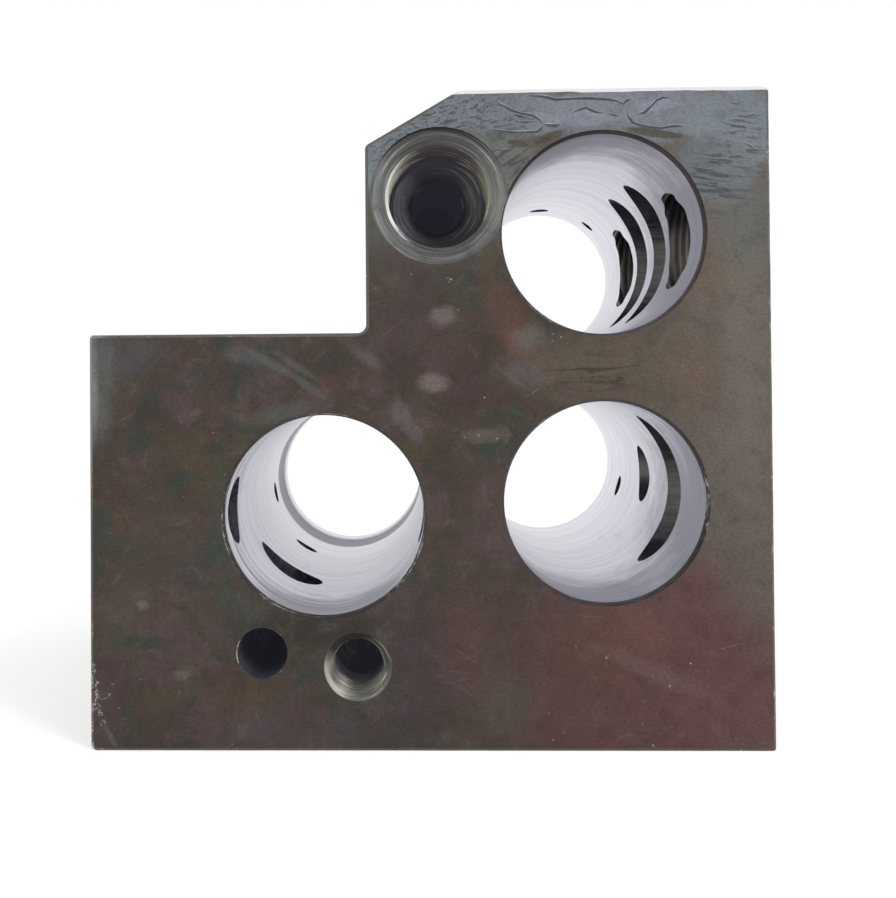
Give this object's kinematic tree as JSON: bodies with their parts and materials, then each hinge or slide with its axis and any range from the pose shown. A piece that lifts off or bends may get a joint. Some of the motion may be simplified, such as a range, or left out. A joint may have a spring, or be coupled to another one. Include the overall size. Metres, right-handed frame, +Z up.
{
  "type": "hydraulic valve body",
  "caption": "L-shaped machined steel block with through bores for spools or cartridges, a spotfaced threaded port, side ports and cross passages.",
  "frame": {"origin": "middle of the block's footprint, on the face it stands on", "axes": "+X to the right as seen from the front, +Y from the front face to the rear face, along the three bores, +Z up"},
  "size_m": [0.136, 0.129, 0.1316],
  "materials": {
    "phosphated_steel": "dark phosphated and oiled outside, with bright honed bores and worn edges"
  },
  "bodies": {
    "root": {"valve_body": "phosphated_steel"}
  },
  "joints": []
}
